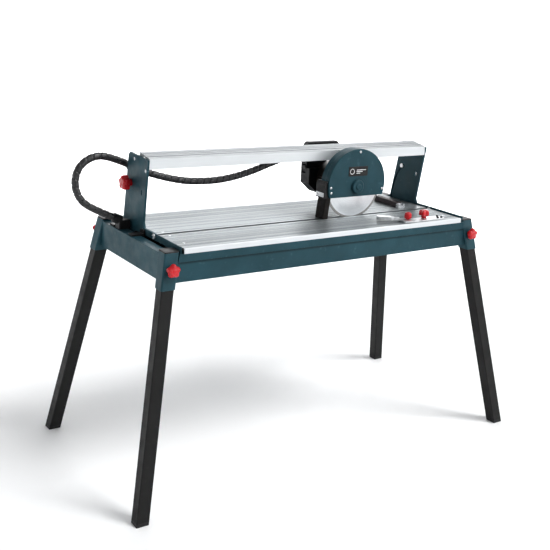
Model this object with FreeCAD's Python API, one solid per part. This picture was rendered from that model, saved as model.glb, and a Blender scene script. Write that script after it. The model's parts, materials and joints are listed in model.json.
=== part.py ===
import FreeCAD, Part
import math
import os

# Bridge tile cutter on four splayed legs.  Millimetres, +Z up.
# Origin: on the floor, under the middle of the frame.  X runs along the cut, +Y is the rear.

# ---- driving dimensions ----
FRAME_LENGTH = 1220.0
FRAME_DEPTH = 505.0
RAIL_TOP = 769.0
RAIL_HEIGHT = 85.0
SHEET = 2.5
TABLE_TOP = 785.0
TABLE_HALF_LENGTH = 550.0
TABLE_REAR_Y = 196.0
BLADE_Y = -76.0
SLOT_WIDTH = 16.0

LEG_SIZE = 40.0
LEG_WALL = 2.0
LEG_CORNER = 3.0
LEG_TOP = (585.6, 224.8, 774.0)
LEG_FOOT = (735.0, 361.0, 0.0)
SOCKET_BOTTOM = 669.0
SOCKET_WALL = 2.5
FOOT_CAP_HEIGHT = 10.0

PIVOT = (BLADE_Y, 781.0)
CLAMP = (92.0, 915.0)
TILT_RANGE_DEG = 45.0
BRACKET_X = 557.5
SWING_X = 553.9
PLATE = 3.0
BEAM_HALF_LENGTH = 553.9
BEAM_FRONT_Y = -25.0
BEAM_BACK_Y = 43.0
BEAM_BOTTOM = 974.0
BEAM_FRONT_TOP = 1007.0
BEAM_SCREWS = ((-17.5, 981.5), (0.5, 1003.3))
BEAM_BACK_TOP = 1018.0
ROLLER_Z = 994.0
ROLLER_R = 14.7

HEAD_X = 190.0
ARBOR_Z = 892.0
BLADE_R = 115.0
BLADE_BORE_R = 12.7
BLADE_THICKNESS = 2.2
SHAFT_R = 8.5
GUARD_R = 122.0
GUARD_Z = 899.0
GUARD_FLAT_Z = 858.0
GUARD_FRONT_Y = -98.0
GUARD_BACK_Y = -54.0
MOTOR_R = 60.0
MOTOR_REAR_Y = 100.0
PLUNGE_X = HEAD_X + 92.0
PLUNGE_Z = 935.0

HOSE_R = 12.0
HOSE_CLIP = (-546.0, 132.0, 962.0)
CLIP_GAP = 0.3
# From the clip on the left swing plate, sagging behind the beam, to the carriage.
HANGING_HOSE = [HOSE_CLIP, (-502, 131, 941), (-442, 126, 921), (-373, 119, 905), (-304, 112, 899),
                (-214, 104, 903), (-120, 94, 926), (-50, 81, 955), (20, 70, 978), (94, 66, 989)]
# From the clip outwards in a loop, down to the gland on the left end rail.
LOOP_HOSE = [(-546.8, 132, 962.38), (-607, 133, 989), (-662, 128, 998), (-713, 124, 973), (-735, 119, 923),
             (-724, 112, 870), (-685, 106, 837), (-616, 100, 806)]

LEG_KNOB_R = 21.5
TILT_KNOB_R = 25.0
FENCE_X = 448.0
GAUGE_PIVOT = (322.0, -224.0)
GAUGE_CLAMP = (408.0, -211.0)

X_AXIS = FreeCAD.Vector(1, 0, 0)
Y_AXIS = FreeCAD.Vector(0, 1, 0)
Z_AXIS = FreeCAD.Vector(0, 0, 1)


# ---- small building blocks ----
def vec(x, y, z):
    return FreeCAD.Vector(x, y, z)


def box(x, y, z):
    """A block from three (low, high) pairs."""
    return Part.makeBox(x[1] - x[0], y[1] - y[0], z[1] - z[0], vec(x[0], y[0], z[0]))


def rod(base, axis, radius, length):
    return Part.makeCylinder(radius, length, vec(*base), axis)


def rod_x(x, y, z, radius):
    """A rod along X, with x as a (low, high) pair."""
    return rod((x[0], y, z), X_AXIS, radius, x[1] - x[0])


def rod_y(x, y, z, radius):
    return rod((x, y[0], z), Y_AXIS, radius, y[1] - y[0])


def rod_z(x, y, z, radius):
    return rod((x, y, z[0]), Z_AXIS, radius, z[1] - z[0])


def prism(points, thickness_vector):
    wire = Part.makePolygon(points + [points[0]])
    return Part.Face(wire).extrude(thickness_vector)


def prism_x(outline, x):
    """A flat (y, z) outline carried along X."""
    points = [vec(x[0], y, z) for y, z in outline]
    return prism(points, vec(x[1] - x[0], 0, 0))


def prism_y(outline, y):
    """A flat (x, z) outline carried along Y."""
    points = [vec(px, y[0], pz) for px, pz in outline]
    return prism(points, vec(0, y[1] - y[0], 0))


def fuse(*shapes):
    result = shapes[0]
    for shape in shapes[1:]:
        result = result.fuse(shape)
    return result.removeSplitter()


def mirrored_x(shape):
    return shape.mirror(vec(0, 0, 0), X_AXIS)


def mirrored_y(shape):
    return shape.mirror(vec(0, 0, 0), Y_AXIS)


def four_corners(shape):
    """The shape at the front left corner, repeated at the other three."""
    right = mirrored_x(shape)
    return [shape, right, mirrored_y(shape), mirrored_y(right)]


def largest_solid(shape):
    return max(shape.Solids, key=lambda solid: solid.Volume)


def round_rim(shape, radius, y):
    """Fillet the circular edges that lie in the plane at this y."""
    edges = [edge for edge in shape.Edges
             if isinstance(edge.Curve, Part.Circle) and abs(edge.CenterOfMass.y - y) < 0.01]
    return shape.makeFillet(radius, edges)


def lobed_knob(axis_base, axis, radius, length, lobes=5):
    """A hand knob: a rounded hub with a ring of finger lobes, along its axis."""
    base = vec(*axis_base)
    lobe_r = radius * 0.36
    ring_r = radius - lobe_r
    side = Z_AXIS if abs(axis.dot(Z_AXIS)) < 0.5 else X_AXIS
    collar = length * 0.3
    start = base + axis * collar
    body = Part.makeCylinder(ring_r, length - collar, start, axis)
    for index in range(lobes):
        turn = FreeCAD.Rotation(axis, 360.0 * index / lobes)
        centre = start + turn.multVec(side) * ring_r
        body = body.fuse(Part.makeCylinder(lobe_r, length - collar, centre, axis))
    far_end = base + axis * length
    rounded = [edge for edge in body.removeSplitter().Edges
               if abs((edge.CenterOfMass - far_end).dot(axis)) < 0.01]
    body = body.removeSplitter().makeFillet(2.0, rounded)
    return fuse(body, Part.makeCylinder(radius * 0.5, collar, base, axis))


def grooved_knob(base, radius, length, grooves=12):
    """A small upright hand knob with finger grooves cut down its side."""
    knob = rod(base, Z_AXIS, radius, length)
    top = [edge for edge in knob.Edges if abs(edge.CenterOfMass.z - base[2] - length) < 0.01]
    knob = knob.makeFillet(1.5, top)
    for index in range(grooves):
        angle = 2 * math.pi * index / grooves
        x = base[0] + (radius + 0.4) * math.cos(angle)
        y = base[1] + (radius + 0.4) * math.sin(angle)
        knob = knob.cut(rod_z(x, y, (base[2] + 3, base[2] + length + 1), 1.5))
    return knob


def save(name, *shapes):
    solids = [solid for shape in shapes for solid in shape.Solids]
    shape = solids[0] if len(solids) == 1 else Part.makeCompound(solids)
    for solid in solids:
        if not solid.isValid() or solid.Volume <= 0:
            print("not valid:", name)
    shape.exportStep("parts/" + name + ".step")


# ---- legs and their sockets; drawn at the front left, with the leg leaning outwards ----
def leg_frame():
    """Top point and the three local directions of the front left leg."""
    top = vec(-LEG_TOP[0], -LEG_TOP[1], LEG_TOP[2])
    foot = vec(-LEG_FOOT[0], -LEG_FOOT[1], LEG_FOOT[2])
    up = (top - foot).normalize()
    across = (X_AXIS - up * X_AXIS.dot(up)).normalize()
    return top, across, up.cross(across), up


def leg_prism(size_x, size_y, low, high, shift_x=0.0, shift_y=0.0, corner=0.0):
    """A block in the leg's own directions; low and high are measured along it from its top."""
    top, across, depth, up = leg_frame()
    start = top + across * (shift_x - size_x / 2) + depth * (shift_y - size_y / 2) + up * low
    points = [start, start + across * size_x, start + across * size_x + depth * size_y,
              start + depth * size_y]
    block = prism(points, up * (high - low))
    if corner:
        long_edges = [edge for edge in block.Edges if abs(edge.Length - (high - low)) < 0.01]
        block = block.makeFillet(corner, long_edges)
    return block


def slab(low, high):
    """Everything between two heights."""
    return box((-900, 900), (-600, 600), (low, high))


def make_legs():
    outer = leg_prism(LEG_SIZE, LEG_SIZE, -900, 60, corner=LEG_CORNER)
    bore_size = LEG_SIZE - 2 * LEG_WALL
    bore = leg_prism(bore_size, bore_size, -900, 60, corner=LEG_CORNER - LEG_WALL)
    leg = outer.cut(bore).common(slab(FOOT_CAP_HEIGHT, 758))
    clamp_hole = rod_y(-594, (-300, -240), 728, 4.4)
    plug_size = bore_size - 0.4
    plug = leg_prism(plug_size, plug_size, -900, 60, corner=LEG_CORNER - LEG_WALL).common(slab(1, 36))
    plug = plug.cut(leg_prism(28, 28, -900, 60).common(slab(14, 40)))
    cap = fuse(outer.common(slab(0, FOOT_CAP_HEIGHT)), plug)
    leg = leg.cut(clamp_hole)
    names = ("front_left", "front_right", "rear_left", "rear_right")
    for name, solid in zip(names, four_corners(leg)):
        save("leg_" + name, solid)
    save("foot_caps", *four_corners(cap))


def make_sockets():
    inside = LEG_SIZE + 0.6
    outside = inside + 2 * SOCKET_WALL
    inner_corner = LEG_CORNER + 0.3
    outer_corner = inner_corner + 1.2
    sleeve = leg_prism(outside, outside, -300, 60, corner=outer_corner)
    sleeve = sleeve.cut(leg_prism(inside, inside, -300, 60, corner=inner_corner))
    sleeve = sleeve.common(slab(SOCKET_BOTTOM, LEG_TOP[2]))
    sleeve = sleeve.cut(rod_y(-594, (-300, -225), 728, 4.05))
    save("leg_sockets", *four_corners(sleeve))
    lid = leg_prism(outside, outside, -300, 60, corner=outer_corner).common(slab(LEG_TOP[2], LEG_TOP[2] + 4))
    tongue = leg_prism(LEG_SIZE, LEG_SIZE, -300, 60, corner=inner_corner).common(slab(761, LEG_TOP[2] + 1))
    save("socket_caps", *four_corners(fuse(lid, tongue)))


def make_leg_knobs():
    """A knob on each socket, with a moulded-in screw that presses on the leg."""
    face_y = -259.0
    knob = lobed_knob((-594, face_y, 728), vec(0, -1, 0), LEG_KNOB_R, 24.0)
    knob = fuse(knob, rod_y(-594, (face_y - 1, -240), 728, 4.0))
    names = ("front_left", "front_right", "rear_left", "rear_right")
    for name, solid in zip(names, four_corners(knob)):
        save("leg_knob_" + name, solid)


# ---- frame ----
def beyond_socket(axis_index):
    """The space on the outer side of the inner face of the front left socket."""
    half = (LEG_SIZE + 0.6) / 2 + SOCKET_WALL
    if axis_index == 0:
        return leg_prism(300, 900, -400, 200, shift_x=half - 150)
    return leg_prism(900, 300, -400, 200, shift_y=half - 150)


def make_rails():
    low = RAIL_TOP - RAIL_HEIGHT
    face = FRAME_DEPTH / 2
    lip_low = RAIL_TOP - 24
    step = 2.5
    outline = [(-face + step, low), (-face + step, lip_low), (-face, lip_low), (-face, RAIL_TOP),
               (-face + 38, RAIL_TOP), (-face + 38, RAIL_TOP - SHEET),
               (-face + step + SHEET, RAIL_TOP - SHEET), (-face + step + SHEET, low + SHEET),
               (-face + 26, low + SHEET), (-face + 26, low)]
    rail = prism_x(outline, (-640, 640))
    end_cut = beyond_socket(0)
    rail = rail.cut(end_cut).cut(mirrored_x(end_cut))
    rail = largest_solid(rail)
    save("front_rail", rail)
    save("rear_rail", mirrored_y(rail))

    out = FRAME_LENGTH / 2 - 1.5
    outline = [(-out, low), (-out, RAIL_TOP), (-out + 34, RAIL_TOP), (-out + 34, RAIL_TOP - SHEET),
               (-out + SHEET, RAIL_TOP - SHEET), (-out + SHEET, low + SHEET), (-out + 24, low + SHEET),
               (-out + 24, low)]
    end = prism_y(outline, (-260, 260))
    side_cut = beyond_socket(1)
    end = largest_solid(end.cut(side_cut).cut(mirrored_y(side_cut)))
    save("end_rails", end, mirrored_x(end))


def make_table_supports():
    """Three folded channels that carry the table panels between the long rails."""
    high = RAIL_TOP
    low = high - 22
    supports = []
    for x in (-400, 0, 400):
        channel = box((x - 20, x + 20), (-247.5, 247.5), (low, high))
        channel = channel.cut(box((x - 17.5, x + 17.5), (-248, 248), (low - 1, high - SHEET)))
        for span in ((-250, -213), (213, 250)):
            channel = channel.cut(box((x - 30, x + 30), span, (high - SHEET, high + 1)))
        supports.append(largest_solid(channel))
    save("table_supports", *supports)


def table_panel(y_low, y_high, front_lip):
    """An extruded panel: a top skin with grooves along X, on webs."""
    skin = 5.0
    pitch = 9.0
    groove_width = 3.0
    groove_depth = 1.0
    half = TABLE_HALF_LENGTH
    top = [(y_low, TABLE_TOP - skin), (y_low, TABLE_TOP)]
    margin = 26.0 if front_lip else 12.0
    y = y_low + margin
    while y + groove_width < y_high - 12:
        low = TABLE_TOP - groove_depth
        top += [(y, TABLE_TOP), (y, low), (y + groove_width, low), (y + groove_width, TABLE_TOP)]
        y += pitch
    top += [(y_high, TABLE_TOP), (y_high, TABLE_TOP - skin)]
    panel = prism_x(top, (-half, half))
    web = 3.0
    webs = max(2, round((y_high - y_low) / 60))
    for index in range(webs + 1):
        y = y_low + (y_high - y_low - web) * index / webs
        panel = panel.fuse(box((-half, half), (y, y + web), (RAIL_TOP, TABLE_TOP - skin)))
    panel = panel.removeSplitter()
    if front_lip:
        corner = [edge for edge in panel.Edges if abs(edge.CenterOfMass.y - y_low) < 0.01
                  and abs(edge.CenterOfMass.z - TABLE_TOP) < 0.01 and edge.Length > 500]
        panel = panel.makeFillet(2.5, corner)
    return panel


def make_table():
    slot_front = BLADE_Y - SLOT_WIDTH / 2
    slot_rear = BLADE_Y + SLOT_WIDTH / 2
    front = table_panel(-FRAME_DEPTH / 2, slot_front, True)
    rear = table_panel(slot_rear, TABLE_REAR_Y, False)
    screws = []
    for x in (-520, 520):
        for y in (-192, -100, -52, 180):
            hole = fuse(rod_z(x, y, (765, 790), 2.1), rod_z(x, y, (TABLE_TOP - 2.2, 790), 4.6))
            front = front.cut(hole)
            rear = rear.cut(hole)
            head = rod_z(x, y, (TABLE_TOP - 2.2, TABLE_TOP), 4.5)
            head = head.cut(rod_z(x, y, (TABLE_TOP - 1, TABLE_TOP + 3), 2.0))
            screws.append(fuse(head, rod_z(x, y, (771, TABLE_TOP - 2.2), 2.0)))
    save("front_table_panel", front)
    save("rear_table_panel", rear)
    save("table_screws", *screws)


def make_water_system():
    low = RAIL_TOP - RAIL_HEIGHT + SHEET
    tray = box((-540, 540), (-240, 240), (low, 742))
    tray = tray.cut(box((-537, 537), (-237, 237), (low + 3, 743)))
    rim = box((-544, 544), (-244, 244), (739, 742))
    rim = rim.cut(box((-537, 537), (-237, 237), (738, 743)))
    tray = fuse(tray, rim)
    save("water_tray", tray)
    floor = low + 3
    base = box((-500, -430), (110, 170), (floor, floor + 8))
    pump = fuse(base, rod_z(-465, 140, (floor + 8, floor + 40), 26), rod_x((-445, -415), 140, floor + 20, 6))
    save("water_pump", pump)


# ---- end brackets and swing plates ----
def upright_outline(bottom_z):
    """The tall plate's (y, z) corners, rear side first, shared by bracket and swing plate."""
    return [(150, bottom_z), (150, 790), (110, 1000), (100, 1010), (-28, 1003), (2, 806)]


def lightening_holes():
    """Two round holes and an upright oval one, in line through bracket and swing plate."""
    through = (-570, -550)
    oval = fuse(rod_x(through, 14, 892, 4), rod_x(through, 14, 902, 4), box(through, (10, 18), (892, 902)))
    return oval.fuse(rod_x(through, 66, 993, 4.5)).fuse(rod_x(through, -13, 968, 4))


def make_brackets():
    """Fixed outer plates: a low strip along the table's end and a tall plate at the rear."""
    x = (-BRACKET_X - PLATE, -BRACKET_X)
    strip_top = 790.0
    outline = upright_outline(RAIL_TOP) + [(-6, strip_top), (-249, strip_top), (-249, RAIL_TOP)]
    plate = prism_x(outline, x)
    plate = plate.cut(rod_x((-570, -550), PIVOT[0], PIVOT[1], 5.0))
    plate = plate.cut(rod_x((-570, -550), CLAMP[0], CLAMP[1], 4.0))
    plate = plate.cut(lightening_holes())
    save("left_end_bracket", plate)
    save("right_end_bracket", mirrored_x(plate))

    feet = []
    for y in (0.0, 140.0):
        foot = box((-604, -BRACKET_X - PLATE), (y - 14, y + 14), (RAIL_TOP, RAIL_TOP + 6))
        upstand = box((-BRACKET_X - PLATE - 5, -BRACKET_X - PLATE), (y - 14, y + 14),
                      (RAIL_TOP, RAIL_TOP + 16))
        foot = fuse(foot, upstand)
        feet += [foot, mirrored_x(foot)]
    save("bracket_feet", *feet)

    outer = -BRACKET_X - PLATE
    pivot = fuse(rod_x((outer - 4, outer), PIVOT[0], PIVOT[1], 8.0),
                 rod_x((outer, -SWING_X + 0.3), PIVOT[0], PIVOT[1], 5.0),
                 rod_x((-SWING_X + 0.3, -SWING_X + 2.3), PIVOT[0], PIVOT[1], 7.5))
    clamp = fuse(rod_x((-SWING_X + 0.4, -SWING_X + 4.4), CLAMP[0], CLAMP[1], 8.0),
                 rod_x((outer - 26, -SWING_X + 0.4), CLAMP[0], CLAMP[1], 4.0))
    save("bracket_bolts", pivot, clamp, mirrored_x(pivot), mirrored_x(clamp))


def arc_slot(radius, width, start_deg, end_deg, x):
    """A curved slot about the tilt axis, as a bent bar along X."""
    def at(r, degrees):
        angle = math.radians(degrees)
        return vec(x[0], PIVOT[0] + r * math.cos(angle), PIVOT[1] + r * math.sin(angle))
    middle = (start_deg + end_deg) / 2
    low = radius - width / 2
    high = radius + width / 2
    edges = [Part.Arc(at(high, start_deg), at(high, middle), at(high, end_deg)).toShape(),
             Part.LineSegment(at(high, end_deg), at(low, end_deg)).toShape(),
             Part.Arc(at(low, end_deg), at(low, middle), at(low, start_deg)).toShape(),
             Part.LineSegment(at(low, start_deg), at(high, start_deg)).toShape()]
    bar = Part.Face(Part.Wire(edges)).extrude(vec(x[1] - x[0], 0, 0))
    for degrees in (start_deg, end_deg):
        point = at(radius, degrees)
        bar = bar.fuse(rod_x(x, point.y, point.z, width / 2))
    return bar.removeSplitter()


def make_swing_plates():
    """Inner plates that carry the beam and turn about the pivot bolts."""
    x = (-SWING_X - PLATE, -SWING_X)
    arm_low = PIVOT[1] - 9
    outline = upright_outline(744) + [(-4, 790), (PIVOT[0], 790), (PIVOT[0], arm_low),
                                      (60, arm_low), (100, 744)]
    plate = fuse(prism_x(outline, x), rod_x(x, PIVOT[0], PIVOT[1], 9.0))
    plate = plate.cut(rod_x((-570, -550), PIVOT[0], PIVOT[1], 5.06))
    reach = math.hypot(CLAMP[0] - PIVOT[0], CLAMP[1] - PIVOT[1])
    rest_deg = math.degrees(math.atan2(CLAMP[1] - PIVOT[1], CLAMP[0] - PIVOT[0]))
    slot = arc_slot(reach, 9.0, rest_deg - TILT_RANGE_DEG - 0.5, rest_deg + 0.5, (-570, -550))
    plate = plate.cut(slot)
    plate = plate.cut(lightening_holes())
    screws = []
    for y, z in BEAM_SCREWS:
        plate = plate.cut(rod_x((-570, -550), y, z, 2.4))
        screw = rod_x((-SWING_X - PLATE, -SWING_X + 16), y, z, 2.3)
        screws += [screw, mirrored_x(screw)]
    save("beam_screws", *screws)
    save("left_swing_plate", plate)
    save("right_swing_plate", mirrored_x(plate))


# ---- bridge beam ----
def beam_top(y):
    slope = (BEAM_BACK_TOP - BEAM_FRONT_TOP) / (BEAM_BACK_Y - BEAM_FRONT_Y)
    return BEAM_FRONT_TOP + (y - BEAM_FRONT_Y) * slope


def make_beam():
    """A hollow extrusion: a closed front cell and a channel, open at the rear, for the rollers."""
    span = (-BEAM_HALF_LENGTH, BEAM_HALF_LENGTH)
    outline = [(BEAM_FRONT_Y, BEAM_BOTTOM), (BEAM_FRONT_Y, BEAM_FRONT_TOP), (BEAM_BACK_Y, BEAM_BACK_TOP),
               (BEAM_BACK_Y, BEAM_BOTTOM)]
    beam = prism_x(outline, span)
    wall = 3.0
    front_cell = [(BEAM_FRONT_Y + wall, BEAM_BOTTOM + wall), (BEAM_FRONT_Y + wall, BEAM_FRONT_TOP - wall),
                  (5, beam_top(5) - wall - 0.5), (5, BEAM_BOTTOM + wall)]
    beam = beam.cut(prism_x(front_cell, (-600, 600)))
    for y, z in BEAM_SCREWS:
        beam = beam.fuse(rod_x(span, y, z, 4.6)).cut(rod_x((-600, 600), y, z, 2.4))
    beam = beam.cut(box((-600, 600), (8, 39), (ROLLER_Z - 15, ROLLER_Z + 15)))
    beam = beam.cut(box((-600, 600), (38, 50), (ROLLER_Z - 8, ROLLER_Z + 8)))
    for y in (-6, 9, 24):
        z = beam_top(y)
        beam = beam.cut(box((-600, 600), (y - 2, y + 2), (z - 1.2, z + 2)))
    save("bridge_beam", beam)

    x, y, z = HOSE_CLIP
    along = (vec(*HANGING_HOSE[1]) - vec(x, y, z)).normalize()
    centre = vec(x, y, z)
    ring = Part.makeCylinder(HOSE_R + 3.5, 8, centre - along * 4, along)
    tab = box((-SWING_X, -SWING_X + 2.5), (96, y - 8), (z - 7, z + 7))
    bore = Part.makeCylinder(HOSE_R + 0.3, 40, centre - along * 20, along)
    save("hose_clip", fuse(ring, tab).cut(bore))


def make_tilt_knobs():
    base_x = -BRACKET_X - PLATE - 0.8
    knob = lobed_knob((base_x, CLAMP[0], CLAMP[1]), vec(-1, 0, 0), TILT_KNOB_R, 34.0)
    knob = knob.cut(rod_x((base_x - 28, base_x + 1), CLAMP[0], CLAMP[1], 4.05))
    save("tilt_knob_left", knob)
    save("tilt_knob_right", mirrored_x(knob))


# ---- carriage, behind the beam ----
def make_carriage():
    x = HEAD_X
    outline = [(x - 84, 976), (x - 84, 1012), (x - 80, 1016), (x + 108, 1016), (x + 112, 1012),
               (x + 112, 919), (x + 108, 915), (x + 76, 915), (x + 72, 919), (x + 72, 976)]
    plate = prism_y(outline, (47, 53))
    tab = box((x - 84, x - 80), (53, 78.5), (976, 1003))
    hose_end = vec(*HANGING_HOSE[-1])
    along = (hose_end - vec(*HANGING_HOSE[-2])).normalize()
    socket = Part.makeCylinder(HOSE_R + 2.5, 13.5, hose_end + along * CLIP_GAP, along)
    plate = fuse(plate, tab, socket)
    pins = []
    for roller_x in (x - 50, x + 50):
        plate = plate.cut(rod_y(roller_x, (40, 60), ROLLER_Z, 4.0))
        pins.append(fuse(rod_y(roller_x, (8.6, 11.4), ROLLER_Z, 6.5),
                         rod_y(roller_x, (11.4, 56.5), ROLLER_Z, 4.0),
                         rod_y(roller_x, (34.6, 47), ROLLER_Z, 6.0),
                         rod_y(roller_x, (53, 56.5), ROLLER_Z, 7.0)))
    plate = plate.cut(rod_y(PLUNGE_X, (40, 60), PLUNGE_Z, 6.0))
    pins.append(fuse(rod_y(PLUNGE_X, (43.6, 47), PLUNGE_Z, 10), rod_y(PLUNGE_X, (47, 66), PLUNGE_Z, 6.0),
                     rod_y(PLUNGE_X, (62.2, 66), PLUNGE_Z, 9.5)))
    save("carriage_plate", plate)
    save("carriage_pins", *pins)
    for name, roller_x in (("left", x - 50), ("right", x + 50)):
        roller = rod_y(roller_x, (12, 34), ROLLER_Z, ROLLER_R)
        rim = [edge for edge in roller.Edges if edge.Length > 80]
        roller = roller.makeFillet(1.5, rim).cut(rod_y(roller_x, (0, 50), ROLLER_Z, 4.05))
        save("roller_" + name, roller)


# ---- saw head ----
def make_motor():
    x = HEAD_X
    z = ARBOR_Z
    shell = rod_y(x, (GUARD_BACK_Y, MOTOR_REAR_Y), z, MOTOR_R)
    lug = fuse(rod_y(PLUNGE_X, (53.6, 61.6), PLUNGE_Z, 15),
               box((x + 30, PLUNGE_X), (53.6, 61.6), (PLUNGE_Z - 14, PLUNGE_Z + 13)))
    shell = fuse(shell, lug)
    shell = shell.cut(rod_y(x, (-44, 101), z, MOTOR_R - 3.5))
    shell = fuse(shell, rod_y(x, (-45, -34), z, 26))
    shell = shell.cut(rod_y(x, (-46, -30), z, 20)).cut(rod_y(x, (-60, -40), z, 12))
    shell = shell.cut(rod_y(PLUNGE_X, (50, 65), PLUNGE_Z, 6.05))
    save("motor_housing", shell)

    cap = rod_y(x, (MOTOR_REAR_Y, MOTOR_REAR_Y + 18), z, MOTOR_R)
    cap = round_rim(cap, 8.0, MOTOR_REAR_Y + 18)
    cap = cap.cut(rod_y(x, (MOTOR_REAR_Y - 1, MOTOR_REAR_Y + 14), z, MOTOR_R - 4.5))
    cap = fuse(cap, rod_y(x, (86, MOTOR_REAR_Y + 15), z, 26)).cut(rod_y(x, (85, 98), z, 20))
    for index in range(12):
        vent = box((x + 31, x + 49), (MOTOR_REAR_Y + 10, MOTOR_REAR_Y + 20), (z - 2.5, z + 2.5))
        vent.rotate(vec(x, 0, z), Y_AXIS, 30.0 * index + 15)
        cap = cap.cut(vent)
    save("motor_end_cap", cap)

    stator = rod_y(x, (-20, 70), z, MOTOR_R - 3.7).cut(rod_y(x, (-21, 71), z, 34.2))
    save("motor_stator", stator)
    bearings = []
    bore = rod_y(x, (-60, 110), z, SHAFT_R + 0.05)
    for span in ((-46, -34), (86, 98)):
        bearings.append(rod_y(x, span, z, 19.95).cut(bore))
    save("motor_bearings", *bearings)


def make_spindle():
    """Rotor, flanges, blade and nut, which turn together."""
    x = HEAD_X
    z = ARBOR_Z
    half = BLADE_THICKNESS / 2
    seat_rear = BLADE_Y + half
    seat_front = BLADE_Y - half
    rotor = fuse(rod_y(x, (seat_front - 6, 97.5), z, SHAFT_R), rod_y(x, (-93, seat_front - 6), z, 8.0),
                 rod_y(x, (-18, 68), z, 33.5))
    save("motor_rotor", rotor)
    inner = fuse(rod_y(x, (seat_rear, seat_rear + 6), z, 25),
                 rod_y(x, (seat_front + 0.1, seat_rear), z, BLADE_BORE_R))
    outer = rod_y(x, (seat_front - 6, seat_front), z, 25)
    bore = rod_y(x, (-120, 0), z, SHAFT_R + 0.02)
    save("blade_flanges", inner.cut(bore), outer.cut(bore))
    web = 0.2
    blade = fuse(rod_y(x, (seat_front, seat_rear), z, 30),
                 rod_y(x, (seat_front + web, seat_rear - web), z, BLADE_R - 4),
                 rod_y(x, (seat_front, seat_rear), z, BLADE_R).cut(
                     rod_y(x, (seat_front - 1, seat_rear + 1), z, BLADE_R - 8)))
    save("saw_blade", blade.cut(rod_y(x, (-90, -60), z, BLADE_BORE_R + 0.02)))
    hexagon = [(x + 13.9 * math.cos(math.radians(60 * i)), z + 13.9 * math.sin(math.radians(60 * i)))
               for i in range(6)]
    nut = prism_y(hexagon, (seat_front - 13.5, seat_front - 6)).cut(rod_y(x, (-120, 0), z, 8.02))
    save("arbor_nut", nut)


def guard_space(y, radius):
    """The guard's round outline, flat at the bottom."""
    disc = rod_y(HEAD_X, y, GUARD_Z, radius)
    return disc.cut(box((HEAD_X - 200, HEAD_X + 200), (y[0] - 1, y[1] + 1), (600, GUARD_FLAT_Z)))


def make_guard():
    x = HEAD_X
    wall = 3.0
    seam = BLADE_Y
    cover = guard_space((GUARD_FRONT_Y, seam), GUARD_R)
    cover = round_rim(cover, 2.5, GUARD_FRONT_Y)
    cover = cover.cut(rod_y(x, (GUARD_FRONT_Y + wall, seam + 1), GUARD_Z, GUARD_R - wall))
    dome = rod_y(x, (GUARD_FRONT_Y - 9, GUARD_FRONT_Y + 1), ARBOR_Z, 25)
    dome = round_rim(dome, 6.0, GUARD_FRONT_Y - 9)
    button = rod_y(x, (GUARD_FRONT_Y - 12, GUARD_FRONT_Y - 8), ARBOR_Z, 11)
    button = round_rim(button, 3.0, GUARD_FRONT_Y - 12)
    cover = fuse(cover, dome, button)
    screws = []
    for degrees in (88, -10, 183, 192):
        angle = math.radians(degrees)
        screw_x = x + 112 * math.cos(angle)
        screw_z = GUARD_Z + 112 * math.sin(angle)
        cover = cover.cut(rod_y(screw_x, (-120, -90), screw_z, 2.1))
        screws.append(fuse(rod_y(screw_x, (GUARD_FRONT_Y - 2.2, GUARD_FRONT_Y), screw_z, 4.4),
                           rod_y(screw_x, (GUARD_FRONT_Y, GUARD_FRONT_Y + 6), screw_z, 2.0)))
    save("guard_cover", cover)
    save("guard_screws", *screws)

    body = guard_space((seam, GUARD_BACK_Y), GUARD_R)
    body = body.cut(rod_y(x, (seam - 1, GUARD_BACK_Y - wall), GUARD_Z, GUARD_R - wall))
    save("guard_body", body.cut(rod_y(x, (-70, -40), ARBOR_Z, 14)))


def make_flap():
    """Rubber splash flap, hanging at the guard's left end from a holder that wraps its rim."""
    outline = [(57, 785.6), (81, 785.6), (89, 857), (65, 857)]
    flap = prism_y(outline, (-89, -44))
    flap = flap.cut(rod_y(HEAD_X, (-80, -72), ARBOR_Z, BLADE_R + 3))
    save("splash_flap", flap)
    holder = prism_y([(57, 857), (90, 857), (90, 914), (62, 914), (57, 900)], (-92, -42))
    holder = holder.cut(rod_y(HEAD_X, (-100, -40), GUARD_Z, GUARD_R))
    holder = holder.cut(guard_space((-100, GUARD_BACK_Y), GUARD_R + 0.05))
    save("flap_holder", largest_solid(holder))


def make_switch_box():
    x = HEAD_X
    lower = [(x - 91, 930), (x - 5, 930), (x - 40, 842), (x - 52, 842), (x - 91, 876)]
    upper = [(x - 91, 955), (x - 5, 955), (x - 5, 925), (x - 91, 925)]
    case = fuse(prism_y(lower, (62, 114)), prism_y(upper, (81.5, 114)))
    case = largest_solid(case.cut(rod_y(x, (50, 130), ARBOR_Z, MOTOR_R + 0.05)))
    case = case.cut(box((x - 92, x - 74), (84.5, 105.5), (909, 941)))
    case = case.cut(rod_y(x - 86, (82, 108), 925, 1.55))
    save("switch_box", case)
    outline = [(x - 94, 937), (x - 91, 925), (x - 88.5, 913), (x - 85, 914), (x - 84, 925), (x - 89, 937)]
    rocker = fuse(prism_y(outline, (85, 105)), rod_y(x - 86, (85, 105), 925, 4.0),
                  rod_y(x - 86, (82.5, 107.5), 925, 1.5))
    save("power_switch", rocker)


def make_handle():
    """A closed grip above the motor, from the switch box over to the motor's right side."""
    x = HEAD_X
    outline = [(x - 90, 955), (x - 90, 1010), (x - 80, 1020), (x + 40, 1020), (x + 50, 1010),
               (x + 50, 915), (x + 28, 915), (x + 28, 990), (x + 20, 998), (x - 60, 998),
               (x - 68, 990), (x - 68, 955)]
    handle = prism_y(outline, (85, 109)).cut(rod_y(x, (60, 130), ARBOR_Z, MOTOR_R + 0.05))
    handle = largest_solid(handle)
    long_edges = [edge for edge in handle.Edges
                  if abs(edge.CenterOfMass.z - 1020) < 0.01 and edge.Length > 100]
    save("saw_handle", handle.makeFillet(4.0, long_edges))


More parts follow.
